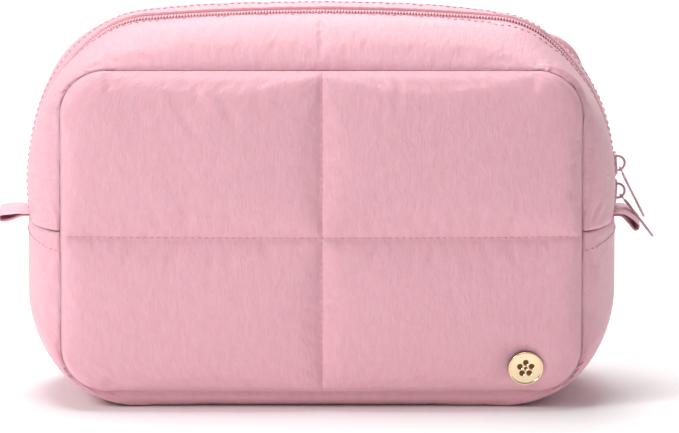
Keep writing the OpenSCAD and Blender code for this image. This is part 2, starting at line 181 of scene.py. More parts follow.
# The chain: a side arc, a tighter shoulder arc and one wide arc over the top, each tangent to the next
sideC, sideR, shR = np.array(chain["sideCentre"]), chain["sideRadius"], chain["shoulderRadius"]
shC = sideC + (sideR - shR) * onCircle((0, 0), 1, chain["shoulderAngle"])
drop = chain["crown"] - shC[1]
topR = (shC[0] ** 2 + drop ** 2 - shR ** 2) / 2 / (drop - shR)
topC = np.array([0, chain["crown"] - topR])
topAngle = math.degrees(math.atan2(topR - drop, shC[0]))
sideTop = math.degrees(math.asin((bag["panelTop"] - bag["panelCorner"] - sideC[1]) / sideR))
cornerAngle = math.degrees(math.acos((bag["cornerX"] - shC[0]) / shR))
sideLength = math.radians(chain["shoulderAngle"] - sideTop) * sideR
cornerLength = sideLength + math.radians(cornerAngle - chain["shoulderAngle"]) * shR


def zipCorner(s):
    low = onCircle(sideC, sideR, sideTop + np.degrees(s / sideR))
    high = onCircle(shC, shR, chain["shoulderAngle"] + np.degrees((s - sideLength) / shR))
    return np.where((s < sideLength)[..., None], low, high)


def zipTop(x):
    onShoulder = shC[1] + np.sqrt(np.clip(shR ** 2 - (x - shC[0]) ** 2, 0, None))
    onTop = topC[1] + np.sqrt(topR ** 2 - x ** 2)
    return np.where(x > shC[0] + shR * math.cos(math.radians(topAngle)), onShoulder, onTop)


def zipHalf(a, fullness):
    z = mix(bag["panelTop"] - bag["panelCorner"], bag["sideSeam"], a - 2)
    side = sideC[0] + np.sqrt(np.clip(sideR ** 2 - (z - sideC[1]) ** 2, 0, None))
    return piecewise(a, [
        point(a * bag["cornerX"], zipTop(a * bag["cornerX"])),
        zipCorner((2 - np.clip(a, 1, 2)) * cornerLength),
        point(side, z)])


def panelLine(u):
    return bothSides(panelHalf, u)


def crestLine(u):
    return bothSides(crestHalf, u)


def zipLine(u):
    return bothSides(zipHalf, u)


def outward(u):
    d = crestLine(u + 0.02) - crestLine(u - 0.02)
    return unit(np.stack([-d[..., 1], d[..., 0]], -1))


# Places u from one to another, evenly spaced along a line
def evenly(line, first, last, spacing):
    u = np.linspace(first, last, 2001)
    length = lengthsAlong(line(u))
    return np.interp(np.linspace(0, length[-1], int(round(length[-1] / spacing)) + 1), length, u)


# Smooth noise between random values on a lattice, for whole arrays of places
class Noise:
    def __init__(self, seed):
        self.values = np.random.RandomState(seed).uniform(-1, 1, (256, 256))

    def __call__(self, x, y):
        x, y = np.broadcast_arrays(x, y)
        i, j = np.floor(x).astype(int), np.floor(y).astype(int)
        fx, fy = x - i, y - j
        fx, fy = fx * fx * (3 - 2 * fx), fy * fy * (3 - 2 * fy)
        v = lambda a, b: self.values[(i + a) % 256, (j + b) % 256]
        return mix(mix(v(0, 0), v(1, 0), fx), mix(v(0, 1), v(1, 1), fx), fy)


# Unit normals of a grid: the cross product of its two differences
def gridNormals(p):
    return unit(np.cross(np.gradient(p, axis=0), np.gradient(p, axis=1)))


# The same, pointing away from the middle of the bag
def gridNormalsOut(p):
    n = gridNormals(p)
    return n * np.sign((n * (p - np.array([0, 0, bag["sideSeam"]]))).sum())


# Twice as many points along both directions, on smooth curves through the old ones
def finer(p):
    for axis in (0, 1):
        p = np.moveaxis(p, axis, 0)
        q = np.concatenate([2 * p[:1] - p[1:2], p, 2 * p[-1:] - p[-2:-1]])
        middle = (9 * (q[1:-2] + q[2:-1]) - q[:-3] - q[3:]) / 16
        out = np.empty((2 * len(p) - 1,) + p.shape[1:])
        out[::2], out[1::2] = p, middle
        p = np.moveaxis(out, 0, axis)
    return p


def quads(index):
    a, b, c, d = index[:-1, :-1], index[:-1, 1:], index[1:, 1:], index[1:, :-1]
    return np.stack([a, b, c, d], -1).reshape(-1, 4)


# Turns the faces of a closed shape outwards: the sum of the corner volumes towards a middle is then positive
def facingOut(points, faces, middle=(0, 0, 0)):
    a, b, c, d = (points[faces[:, k]] - np.array(middle, float) for k in range(4))
    volume = (np.cross(a, b) * c).sum() + (np.cross(a, c) * d).sum()
    return faces if volume > 0 else faces[:, ::-1]


def linked(name, data):
    piece = bpy.data.objects.new(name, data)
    bpy.context.scene.collection.objects.link(piece)
    return piece


def newMesh(name, points, faces, uv=None):
    mesh = bpy.data.meshes.new(name)
    faces = np.asarray(faces, np.int32)
    mesh.vertices.add(len(points))
    mesh.vertices.foreach_set("co", (np.asarray(points, float) * metre).astype(np.float32).ravel())
    mesh.loops.add(faces.size)
    mesh.loops.foreach_set("vertex_index", faces.ravel())
    mesh.polygons.add(len(faces))
    width = faces.shape[1]
    mesh.polygons.foreach_set("loop_start", np.arange(len(faces), dtype=np.int32) * width)
    mesh.polygons.foreach_set("use_smooth", np.ones(len(faces), bool))
    mesh.update(calc_edges=True)
    if uv is not None:
        layer = mesh.uv_layers.new(name="cloth")
        layer.data.foreach_set("uv", np.asarray(uv, np.float32)[faces.ravel()].ravel())
    mesh.validate()
    return linked(name, mesh)


# Distances along both directions of a grid, in tenths of a metre, as a cloth pattern's coordinates
def clothMap(p):
    along = np.concatenate([[0], np.cumsum(np.linalg.norm(np.diff(p, axis=0), axis=-1).mean(1))])
    across = np.concatenate([[0], np.cumsum(np.linalg.norm(np.diff(p, axis=1), axis=-1).mean(0))])
    return np.stack(np.broadcast_arrays(across[None, :], along[:, None]), -1) / 100


# A closed piece from two grids. Welded, they share their border, as a pad sewn flat at its seams does;
# otherwise a strip joins the borders.
def closedPiece(name, outer, inner, weld, turnMap=False):
    rows, cols = outer.shape[:2]
    top = np.arange(rows * cols).reshape(rows, cols)
    uv = clothMap(outer)
    if turnMap:
        uv = uv[..., ::-1]
    if weld:
        within = np.zeros((rows, cols), bool)
        within[1:-1, 1:-1] = True
        low = top.copy()
        low[within] = rows * cols + np.arange(within.sum())
        points = np.concatenate([outer.reshape(-1, 3), inner[within]])
        uvs = np.concatenate([uv.reshape(-1, 2), uv[within]])
        faces = [quads(top), quads(low)[:, ::-1]]
    else:
        low = top + rows * cols
        points = np.concatenate([outer.reshape(-1, 3), inner.reshape(-1, 3)])
        uvs = np.concatenate([uv.reshape(-1, 2), uv.reshape(-1, 2)])
        ring = np.concatenate([top[0], top[1:, -1], top[-1, -2::-1], top[-2:0:-1, 0]])
        beyond = np.roll(ring, -1)
        rim = np.stack([beyond, ring, ring + rows * cols, beyond + rows * cols], -1)
        faces = [quads(top), quads(low)[:, ::-1], rim]
    return newMesh(name, points, facingOut(points, np.concatenate(faces)), uvs)


# A ring from a grid of points that meets itself both ways
def torus(name, grid):
    rows, cols = grid.shape[:2]
    index = np.pad(np.arange(rows * cols).reshape(rows, cols), (0, 1), mode="wrap")
    points = grid.reshape(-1, 3)
    return newMesh(name, points, facingOut(points - points.mean(0), quads(index)))


# A closed body from rings of points, with a point in the middle of each end
def ringBody(name, rings):
    count, sides = rings.shape[:2]
    points = np.concatenate([rings.reshape(-1, 3), rings[:1].mean(1), rings[-1:].mean(1)])
    index = np.arange(count * sides).reshape(count, sides)
    around = quads(np.concatenate([index, index[:, :1]], 1))
    first, last = count * sides, count * sides + 1
    near, far = np.roll(index[0], -1), np.roll(index[-1], -1)
    # each end is a fan of triangles
    caps = np.concatenate([np.stack([index[0], np.full(sides, first), near], -1),
                           np.stack([far, np.full(sides, last), index[-1]], -1)])
    corners = lambda f, i, j, k: (np.cross(points[f[:, i]], points[f[:, j]]) * points[f[:, k]]).sum()
    volume = corners(around, 0, 1, 2) + corners(around, 0, 2, 3) + corners(caps, 0, 1, 2)
    way = 1 if volume > 0 else -1
    mesh = bpy.data.meshes.new(name)
    mesh.from_pydata((points * metre).tolist(), [], [f[::way] for f in around.tolist() + caps.tolist()])
    mesh.polygons.foreach_set("use_smooth", np.ones(len(mesh.polygons), bool))
    return linked(name, mesh)


def joined(name, pieces):
    bpy.ops.object.select_all(action="DESELECT")
    for piece in pieces:
        piece.select_set(True)
    bpy.context.view_layer.objects.active = pieces[0]
    bpy.ops.object.join()
    pieces[0].name = pieces[0].data.name = name
    return pieces[0]


cloth = {
    "scale": 10.0,             # the fabric is this many times larger while it settles
    "frames": 20,
    "settings": {
        "quality": 6,
        "mass": 0.15,
        "tension_stiffness": 12,
        "compression_stiffness": 12,
        "shear_stiffness": 4,
        "bending_stiffness": 0.3,
        "air_damping": 2,
        "use_pressure": True,
        "vertex_group_mass": "held",
    },
}


# Inflates and wrinkles a grid of fabric that is held along its seams, and returns the grid it settles to
def inflate(name, p, held, pressure, growth, cap):
    rows, cols = p.shape[:2]
    index = np.arange(rows * cols).reshape(rows, cols)
    points = p.reshape(-1, 3)
    faces = facingOut(points, quads(index), (0, 0, bag["sideSeam"]))
    sheet = newMesh(name + "_sim", points * cloth["scale"], faces)
    group = sheet.vertex_groups.new(name="held")
    group.add(np.flatnonzero(held.ravel()).tolist(), 1.0, "ADD")
    modifier = sheet.modifiers.new("Cloth", "CLOTH")
    s = modifier.settings
    for key, value in cloth["settings"].items():
        setattr(s, key, value)
    s.uniform_pressure_force = pressure
    s.shrink_min = s.shrink_max = -growth
    s.effector_weights.gravity = 0
    modifier.collision_settings.use_collision = False
    modifier.point_cache.frame_start, modifier.point_cache.frame_end = 1, cloth["frames"]
    scene = bpy.context.scene
    for step in range(1, cloth["frames"] + 1):
        scene.frame_set(step)
    evaluated = sheet.evaluated_get(bpy.context.evaluated_depsgraph_get())
    out = np.empty(rows * cols * 3, np.float32)
    evaluated.data.vertices.foreach_get("co", out)
    bpy.data.objects.remove(sheet)
    scene.frame_set(1)
    moved = out.reshape(rows, cols, 3).astype(float) / metre / cloth["scale"] - p
    size = np.linalg.norm(moved, axis=-1, keepdims=True)
    print("  cloth settled:", name, "moved", round(float(size.mean()), 2), "mm on average")
    return p + moved * cap * np.tanh(size / cap) / np.maximum(size, 1e-9)


# A socket with arithmetic: each operator adds a Math node
class Signal:
    def __init__(self, paint, socket):
        self.paint, self.socket = paint, socket

    def maths(self, operation, a, b=0.0):
        return self.paint.node("ShaderNodeMath", {"operation": operation}, {0: a, 1: b})

    def __add__(self, other):
        return self.maths("ADD", self, other)

    def __radd__(self, other):
        return self.maths("ADD", other, self)

    def __sub__(self, other):
        return self.maths("SUBTRACT", self, other)

    def __mul__(self, other):
        return self.maths("MULTIPLY", self, other)

    def __rmul__(self, other):
        return self.maths("MULTIPLY", other, self)


class Paint:
    def __init__(self, name):
        self.material = bpy.data.materials.new(name)
        self.material.use_nodes = True
        self.tree = self.material.node_tree
        self.shader = self.tree.nodes["Principled BSDF"]

    # Any node: its settings first, then the values or links of its sockets
    def node(self, kind, settings=None, inputs=None, output=0):
        n = self.tree.nodes.new(kind)
        for key, value in (settings or {}).items():
            setattr(n, key, value)
        for key, value in (inputs or {}).items():
            self.set(n.inputs[key], value)
        return Signal(self, n.outputs[output])

    def set(self, socket, value):
        if isinstance(value, Signal):
            self.tree.links.new(value.socket, socket)
        else:
            socket.default_value = value

    def finish(self, **sockets):
        for key, value in sockets.items():
            self.set(self.shader.inputs[key.replace("_", " ")], value)
        return self.material

    # Places on the cloth pattern, and places on the object
    def onCloth(self):
        return self.node("ShaderNodeUVMap", {"uv_map": "cloth"})

    def onObject(self):
        return self.node("ShaderNodeTexCoord", None, None, "Object")

    # From 0 at one value to 1 at another
    def between(self, value, low, high):
        return self.node("ShaderNodeMapRange", None, {"Value": value, "From Min": low, "From Max": high})

    def noise(self, place, scale, detail=3.0, roughness=0.5, distortion=0.0):
        return self.node("ShaderNodeTexNoise", None, {
            "Vector": place, "Scale": scale, "Detail": detail,
            "Roughness": roughness, "Distortion": distortion})

    def wave(self, place, direction, scale, distortion, detail=2.0):
        return self.node("ShaderNodeTexWave", {"bands_direction": direction}, {
            "Vector": place, "Scale": scale, "Distortion": distortion, "Detail": detail})

    def stretched(self, place, factors):
        return self.node("ShaderNodeMapping", None, {"Vector": place, "Scale": factors})

    def blend(self, factor, first, second):
        n = self.tree.nodes.new("ShaderNodeMix")
        n.data_type = "RGBA"
        self.set(n.inputs[0], factor)
        self.set(n.inputs[6], first)
        self.set(n.inputs[7], second)
        return Signal(self, n.outputs[2])

    def bump(self, height, distance):
        return self.node("ShaderNodeBump", None, {"Height": height, "Distance": distance, "Strength": 1.0})


# A colour given as it looks on a screen, turned into light
def colour(code):
    parts = [int(code[i:i + 2], 16) / 255 for i in (0, 2, 4)]
    return tuple(c / 12.92 if c <= 0.04045 else ((c + 0.055) / 1.055) ** 2.4 for c in parts) + (1.0,)


nylon = {
    "light": "F7C1CC",
    "deep": "EFB0BD",
    "roughness": 0.5,
    "sheen": 0.25,
    "crinkle": 0.00038,    # height of the crinkles in metres
    "through": 0.15,       # light that passes through the fabric
}


# Crinkled nylon with fine slubs along the warp; its pattern follows the cloth map
def nylonMaterial(name, light, deep):
    m = Paint(name)
    place = m.onCloth()
    slub = m.noise(m.stretched(place, (260, 9, 1)), 1.0, 4, 0.6)
    crinkle = m.noise(m.stretched(place, (34, 17, 1)), 1.0, 5, 0.58, 0.6)
    fine = m.noise(m.stretched(place, (120, 46, 1)), 1.0, 3, 0.6)
    weave = m.noise(place, 380, 2, 0.5)
    tone = slub * 0.45 + crinkle * 0.4 + fine * 0.15
    sharper = m.between(tone, 0.36, 0.64)
    relief = crinkle * 1.0 + fine * 0.34 + slub * 0.26 + weave * 0.06
    return m.finish(
        Base_Color=m.blend(sharper, colour(deep), colour(light)),
        Roughness=nylon["roughness"] + 0.12 * (fine - 0.5) + 0.1 * (crinkle - 0.5),
        Sheen_Weight=nylon["sheen"], Sheen_Roughness=0.45,
        Subsurface_Weight=nylon["through"], Subsurface_Radius=(1.0, 0.25, 0.3), Subsurface_Scale=0.002,
        Normal=m.bump(relief, nylon["crinkle"]))


def liningMaterial():
    m = Paint("lining_cloth")
    place = m.onCloth()
    warp, weft = m.wave(place, "X", 60, 1.0), m.wave(place, "Y", 60, 1.0)
    shade = m.noise(place, 20, 4)
    return m.finish(
        Base_Color=m.blend(shade, colour("D98C9C"), colour("E6A2B0")),
        Roughness=0.62 + 0.1 * (shade - 0.5), Sheen_Weight=0.2,
        Normal=m.bump(warp * 0.5 + weft * 0.5, 0.00012))


def threadMaterial():
    m = Paint("sewing_thread")
    place = m.onObject()
    twist = m.wave(place, "DIAGONAL", 900, 0.4)
    return m.finish(
        Base_Color=m.blend(twist, colour("E6A5B3"), colour("F3BAC5")),
        Roughness=0.45 + 0.1 * twist, Sheen_Weight=0.3, Normal=m.bump(twist, 0.00006))


def tapeMaterial():
    m = Paint("woven_tape")
    place = m.onCloth()
    rib, pick = m.wave(place, "X", 36, 0.3), m.wave(place, "Y", 50, 0.6)
    wear = m.noise(place, 30, 4)
    return m.finish(
        Base_Color=m.blend(wear * 0.6 + rib * 0.4, colour("F2B4C1"), colour("F8C6D0")),
        Roughness=0.68 + 0.1 * (wear - 0.5), Sheen_Weight=0.25,
        Normal=m.bump(rib * 0.6 + pick * 0.4, 0.00015))


def coilMaterial():
    m = Paint("nylon_coil")
    place = m.onObject()
    wear = m.noise(place, 160, 4)
    return m.finish(
        Base_Color=m.blend(wear, colour("EFB0BE"), colour("F8C8D2")),
        Roughness=0.36 + 0.12 * (wear - 0.5), Normal=m.bump(wear, 0.00003))


enamel = {"light": "DDB2BB", "deep": "CD9EA8", "roughness": 0.3}


def enamelMaterial():
    m = Paint("pink_enamel")
    place = m.onObject()
    wear = m.noise(place, 240, 5, 0.6)
    peel = m.noise(place, 900, 2)
    edge = m.node("ShaderNodeNewGeometry", None, None, "Pointiness")
    worn = m.between(edge, 0.52, 0.6) * wear
    whole = m.blend(wear, colour(enamel["deep"]), colour(enamel["light"]))
    return m.finish(
        Base_Color=m.blend(worn, whole, colour("DDBCC2")),
        Metallic=0.35 + 0.4 * worn, Roughness=enamel["roughness"] + 0.15 * (wear - 0.5),
        Coat_Weight=0.4, Coat_Roughness=0.15, Normal=m.bump(peel, 0.00002))


# sunk is a painted shade colour for the motif's hollows and the rim's lower wall, not a colour of the gold
gold = {"pale": "FFF3D2", "warm": "F6DFAF", "sunk": "6E4A28", "roughness": 0.2}


def goldMaterial():
    m = Paint("pale_gold_plate")
    place = m.onObject()
    haze = m.noise(place, 180, 4)
    scratch = m.noise(m.stretched(place, (2600, 300, 300)), 1.0, 3)
    # height above the panel: painted shade darkens the sunk motif and the lower part of the rim's wall
    height = m.node("ShaderNodeVectorMath", {"operation": "DOT_PRODUCT"},
                    {0: place, 1: tuple(badgeOut)}, "Value")
    height = (height - float(badgeOut @ np.array(badge["at"])) * metre) * 1000.0
    outsidePaintedShade = m.between(height, 1.38, 1.5)
    clean = m.blend(haze, colour(gold["warm"]), colour(gold["pale"]))
    return m.finish(
        Base_Color=m.blend(outsidePaintedShade, colour(gold["sunk"]), clean),
        Metallic=1.0, Roughness=gold["roughness"] + 0.14 * (haze - 0.5) + 0.08 * (scratch - 0.5),
        Normal=m.bump(scratch, 0.00001))


pinkNylon = nylonMaterial("crinkled_nylon", nylon["light"], nylon["deep"])
# the straps use the bag's nylon painted lighter: painted light on the loops
loopNylonPaintedLighter = nylonMaterial("strap_nylon_painted_lighter", "FACCD6", "F3B9C6")
liningCloth = liningMaterial()
thread = threadMaterial()
tapeCloth = tapeMaterial()
coilNylon = coilMaterial()
pinkEnamel = enamelMaterial()
paleGold = goldMaterial()
print("materials made")


def dress(piece, material):
    piece.data.materials.append(material)
    return piece


# Both only bake a piece's transform into its mesh; nothing bends it at the crease
def bendFront(piece):
    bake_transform(piece)


def bendRear(piece):
    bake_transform(piece)


toRear = np.array([1, -1, 1])
rearward = np.array([0, 1.0, 0])

sewing = {"length": 2.3, "pitch": 3.0, "radius": 0.26, "lift": 0.05}


# Short rounded stitches along a path: each is a capsule whose ends dip into the fabric
def stitches(name, path, normals):
    length = lengthsAlong(path)
    count = int(length[-1] / sewing["pitch"])
    start = (np.arange(count) + 0.5) * length[-1] / count
    sides, rings = 6, 7
    t = np.linspace(-1, 1, rings)
    s = start[:, None] + t[None, :] * sewing["length"] / 2
    at = lambda values: np.stack([np.interp(s, length, values[:, k]) for k in range(3)], -1)
    centre, up = at(path), unit(at(normals))
    dip = sewing["radius"] * (0.9 - 1.7 * t ** 2) + sewing["lift"]
    centre = centre + up * dip[None, :, None]
    side = np.cross(unit(np.gradient(centre, axis=1)), up)
    a = np.arange(sides) * 2 * np.pi / sides
    radius = sewing["radius"] * np.sqrt(np.clip(1.02 - t ** 2, 0.02, 1))
    ring = (np.cos(a)[:, None] * side[:, :, None] + np.sin(a)[:, None] * up[:, :, None])
    points = centre[:, :, None] + radius[None, :, None, None] * ring
    index = np.arange(count * rings * sides).reshape(count, rings, sides)
    a, b = index, np.roll(index, -1, axis=2)
    body = np.stack([a[:, :-1], b[:, :-1], b[:, 1:], a[:, 1:]], -1).reshape(-1, 4)
    cap = lambda k, order: index[:, k][:, order].reshape(-1, 4)
    caps = [cap(0, [3, 2, 1, 0]), cap(0, [5, 4, 3, 0]), cap(-1, [0, 1, 2, 3]), cap(-1, [0, 3, 4, 5])]
    points = points.reshape(-1, 3)
    piece = newMesh(name, points, facingOut(points, np.concatenate([body] + caps)))
    return dress(piece, thread)


quilted = {
    "step": 1.9,           # spacing of the fabric's points before they are refined
    "border": (3.4, 4.2),  # height and width of the rounded edge beside the outer seam
    "steep": (1.9, 7.5),   # and of each cushion's own edge
    "crown": (2.6, 46.0),  # and of its broad crown
    "bulge": 3.2,          # the whole panel bulges this much in its middle
    "pressure": 0.3,
    "growth": 0.006,       # the fabric is cut this much larger than the flat shape, and puckers
    "cap": 0.9,
}


# A panel's rows follow the outline's side, so both its ends run round the corners, and each row spans
# the width there
def panelPlaces():
    w, r, top, low, quilt = (bag[k] for k in ("panelHalf", "panelCorner", "panelTop", "panelLow", "quilt"))
    corner = np.linspace(0, 90, int(math.pi / 2 * r / quilted["step"]) + 1)
    straight = lambda a, b: np.linspace(a, b, int(abs(a - b) / quilted["step"]) + 1)[1:]
    z = np.concatenate([low + r - r * np.cos(np.radians(corner)), straight(low + r, quilt),
                        straight(quilt, top - r), top - r + r * np.sin(np.radians(corner[1:]))])
    beyond = np.clip(np.maximum(z - (top - r), low + r - z), 0, r)
    half = w - r + np.sqrt(np.clip(r ** 2 - beyond ** 2, 0, None))
    cols = 2 * int(w / quilted["step"]) + 1
    across = np.linspace(-1, 1, cols)
    return half[:, None] * across[None, :], np.broadcast_to(z[:, None], (len(z), cols))


# Distance inside the rounded outline
def insideOutline(x, z):
    w, r, top, low = (bag[k] for k in ("panelHalf", "panelCorner", "panelTop", "panelLow"))
    middle = (top + low) / 2
    dx, dz = np.abs(x) - (w - r), np.abs(z - middle) - ((top - low) / 2 - r)
    outside = np.sqrt(np.clip(dx, 0, None) ** 2 + np.clip(dz, 0, None) ** 2)
    return np.clip(r - outside - np.minimum(np.maximum(dx, dz), 0), 0, None)


# Rises like a quarter circle from 0 to 1 over the given distance
def roundRise(d, reach):
    return np.sqrt(np.clip(1 - (1 - np.clip(d / reach, 0, 1)) ** 2, 0, 1))


def panelPoints():
    x, z = panelPlaces()
    inside, fromMiddle, fromCrease = insideOutline(x, z), np.abs(x), np.abs(z - bag["quilt"])
    soft = lambda d, reach: 1 - (1 - np.clip(d / reach, 0, 1)) ** 2
    high, reach = quilted["steep"]
    steep = high * roundRise(inside, 1.6 * reach)
    steep = steep * roundRise(fromMiddle, reach) * roundRise(fromCrease, reach)
    high, reach = quilted["crown"]
    crown = high * soft(inside, reach) * soft(fromMiddle, reach) * soft(fromCrease, reach)
    border = quilted["border"][0] * roundRise(inside, quilted["border"][1])
    upright = np.clip(1 - ((z - bag["quilt"]) / bag["quilt"]) ** 4, 0, 1)
    bulge = quilted["bulge"] * (1 - (x / bag["panelHalf"]) ** 2) * upright
    y = -bag["seamY"] - border - steep - crown - bulge
    return np.stack([x, y, z], -1)


def panelHeld(p):
    held = np.zeros(p.shape[:2], bool)
    held[[0, -1], :] = held[:, [0, -1]] = True
    held[:, p.shape[1] // 2] = True
    held[np.argmin(np.abs(p[:, 0, 2] - bag["quilt"]))] = True
    return held


# Puckers across a seam: noise that is short along it and long across it, fading with distance d
def puckers(s, d, seed, pitch=4.0, reach=6.0):
    noise = Noise(seed)
    wave = noise(s / pitch, d / (2.5 * reach)) + 0.5 * noise(s / pitch * 2.1 + 7, d / reach)
    return wave * np.exp(-d / reach) * (1 - np.exp(-d / 0.7))


# Single sharp creases that start at a seam, each (place, slant, width, length, depth)
def creases(s, d, each):
    dent = 0
    for place, slant, width, length, depth in each:
        dent = dent - depth * np.exp(-((s - place - slant * d) / width) ** 2) * np.exp(-(d / length) ** 2)
    return dent * (1 - np.exp(-d / 0.6))


flat = panelPoints()
panelSkin = inflate("panel", flat, panelHeld(flat), quilted["pressure"], quilted["growth"], quilted["cap"])
panelSkin = finer(panelSkin)


# Where soft ripples lie on a panel: how strong, and the middle and reach of each, across and up
ripples = {
    "slanted": ((0.7, -52, 136, 24, 13), (0.22, -75, 104, 30, 20)),
    "upright": ((0.42, 38, 137, 26, 12), (0.2, 70, 55, 40, 16), (0.2, -60, 50, 40, 14)),
}


# Soft ripples, strongest near the top of the two upper cushions, and puckers along every seam
def panelDetail(p):
    x, z = p[..., 0], p[..., 2]
    inside = insideOutline(x, z)
    nearSide = np.abs(x) / bag["panelHalf"] > np.abs(z - bag["panelMiddle"]) / bag["panelReach"]
    dent = 0
    for strength, s, d, seed, pitch in ((0.26, np.where(nearSide, z, x), inside, 3, 3.6),
                                        (0.2, x, np.abs(z - bag["quilt"]), 4, 3.2),
                                        (0.2, z, np.abs(x), 5, 3.4)):
        dent = dent + strength * puckers(s, d, seed, pitch, 4.0)
    ripple, broad = Noise(6), Noise(7)
    slanted = ripple((x * 0.88 + z * 0.47) / 4.6, (z * 0.88 - x * 0.47) / 17)
    upright = ripple(x / 3.8 + 40, z / 21)
    within = lambda kind: sum(high * np.exp(-((x - cx) / wx) ** 2 - ((z - cz) / wz) ** 2)
                              for high, cx, cz, wx, wz in ripples[kind])
    dent = dent + slanted * within("slanted") + upright * within("upright")
    dent = dent + 0.35 * broad(x / 34, z / 30) * roundRise(inside, 16)
    p = p + gridNormalsOut(p) * dent[..., None]
    # the clinched medallion presses the cushion in round itself
    away = np.hypot(x - badge["at"][0], z - badge["at"][2]) / badge["dimple"]
    p[..., 1] = mix(p[..., 1], np.maximum(p[..., 1], badge["at"][1] - 0.3), np.exp(-away ** 4))
    return p


panelSkin = panelDetail(panelSkin)
panelBack = finer(np.stack([flat[..., 0], np.full(flat.shape[:2], -bag["seamY"]), flat[..., 2]], -1))
middleColumn = panelSkin.shape[1] // 2
creaseRow = np.argmin(np.abs(panelSkin[:, 0, 2] - bag["quilt"]))
straightOut = np.array([0, -1.0, 0])
for side, turn, bend in (("front", 1, bendFront), ("back", toRear, bendRear)):
    panel = closedPiece(side + "_quilted_panel", panelSkin * turn, panelBack * turn, True)
    dress(panel, pinkNylon)
    bend(panel)
    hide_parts(side + "_panel_lower", side + "_panel_upper",
                side + "_wadding_lower", side + "_wadding_upper")
    # the cross of quilt stitches, in its own groove
    for line, path in (("_upright_quilting", panelSkin[2:-2, middleColumn]),
                       ("_level_quilting", panelSkin[creaseRow, 3:-3])):
        bend(stitches(side + line, path * turn, np.broadcast_to(straightOut * turn, path.shape)))
print("panels made")

gusset = {
    "step": 1.9,
    "forward": 3.4,        # how far a gusset swells forward of the panel seam
    "nearSeam": 0.25,      # how far out its section's two control points lie, as shares of the crest
    "nearZip": 1.2,
    "nearMiddle": 1.06,
    "pressUnder": 1.4,     # the same underneath, where the surface flattens the bag
    "start": 0.97,         # the fabric starts this much smaller, because it swells
    "pressure": 0.4,
    "growth": 0.009,
    "cap": 0.7,
    "thinner": 0.6,        # its pad is this much thinner than a panel's
    "seamGap": 0.25,       # left free on each side of a side seam
}


def bezier(p, q):
    q = q[..., None]
    return (1 - q) ** 3 * p[0] + 3 * (1 - q) ** 2 * q * p[1] + 3 * (1 - q) * q ** 2 * p[2] + q ** 3 * p[3]


def inSpace(flatPoint, y):
    return np.stack([flatPoint[..., 0], np.full(flatPoint.shape[:-1], float(y)), flatPoint[..., 1]], -1)


# A section at u is a cubic curve from the panel seam, out past the crest, to the folded edge beside the zip
def zipBand(u, q, depth=0.0):
    rim, crest, n = panelLine(u), crestLine(u), outward(u)
    spread, y = gusset["start"] * (crest - rim), -bag["seamY"]
    end = zipLine(u) + (0.8 - 0.38 * depth) * n
    within = rim - depth * n
    return bezier([inSpace(within, y + 0.2),
                   inSpace(within + gusset["nearSeam"] * spread, y - gusset["forward"] + depth),
                   inSpace(within + gusset["nearZip"] * spread, y * 0.62),
                   inSpace(end, -chain["edge"])], q)


# The base gusset runs from the front seam to the middle and back out to the rear seam, and is pressed
# flat underneath
def baseBand(u, q, depth=0.0):
    rim, crest, n = panelLine(u), crestLine(u), outward(u)
    under = np.clip(6 - np.abs(6 - u) - 4, 0, 1)[..., None]
    spread, y = gusset["start"] * (crest - rim), -bag["seamY"]
    far = mix(gusset["nearMiddle"], gusset["pressUnder"], under)
    near = mix(gusset["nearSeam"], 1.15, under)
    within = rim - depth * n
    p = bezier([inSpace(within, y + 0.2),
                inSpace(within + near * spread, y - gusset["forward"] + depth),
                inSpace(within + far * spread, y * 0.6),
                inSpace(crest - depth * n, 0)], 1 - np.abs(1 - q))
    p[..., 1] *= np.where(q > 1, -1, 1)
    p[..., 2] = np.maximum(p[..., 2], depth)
    return p


def borderHeld(p):
    held = np.zeros(p.shape[:2], bool)
    held[[0, -1], :] = held[:, [0, -1]] = True
    return held


# The pad's inner face: as deep as the pad in its middle and sewn flat at the border
def padInside(p, outerNormals, depth):
    rows, cols = p.shape[:2]
    i, j = np.arange(rows)[:, None], np.arange(cols)[None, :]
    border = np.minimum(np.minimum(i, rows - 1 - i), np.minimum(j, cols - 1 - j))
    return p - outerNormals * depth * roundRise(border, 7)[..., None]


# Puckers along the seams, stronger where the gusset turns a corner, and a few sharp creases there
def gussetDetail(p, u, seams, seed):
    rows = np.interp(np.linspace(0, 1, p.shape[0]), np.linspace(0, 1, len(u)), u)
    across, along = np.moveaxis(clothMap(p) * 100, -1, 0)
    w = np.abs(np.where(rows > 6, rows - 12, rows))
    corner = (np.exp(-((w - 1.5) / 0.45) ** 2) + np.exp(-((w - 4.5) / 0.5) ** 2))[:, None]
    random = np.random.RandomState(seed)
    dent = 0
    for k, d in enumerate(seams(across)):
        dent = dent + (0.14 + 0.4 * corner) * puckers(along, d, seed + k, 3.8, 5.0)
        middle = along[:, 0][np.argsort(-corner[:, 0])[:90]]
        each = [(random.choice(middle), random.uniform(-0.5, 0.5), random.uniform(0.5, 1.0),
                 random.uniform(5, 11), random.uniform(0.5, 1.1)) for _ in range(9)]
        dent = dent + creases(along, d, each)
    dent = dent + 0.15 * Noise(seed + 5)(along / 30, across / 20)
    dent = dent * roundRise(np.minimum(along, along.max() - along), 3)
    return p + gridNormalsOut(p) * dent[..., None]


# A gusset's outer skin, its pad's inner face and its outward normals; nothing goes below the table
def gussetSkins(name, u, grid, seams, seed):
    skin = inflate(name, grid, borderHeld(grid), gusset["pressure"], gusset["growth"], gusset["cap"])
    grid = finer(grid)
    skin = gussetDetail(finer(skin), u, seams, seed)
    out = gridNormalsOut(grid)
    inner = padInside(grid, out, bag["pad"] - gusset["thinner"])
    skin[..., 2] = np.maximum(skin[..., 2], 0)
    inner[..., 2] = np.maximum(inner[..., 2], 0)
    return skin, inner, out


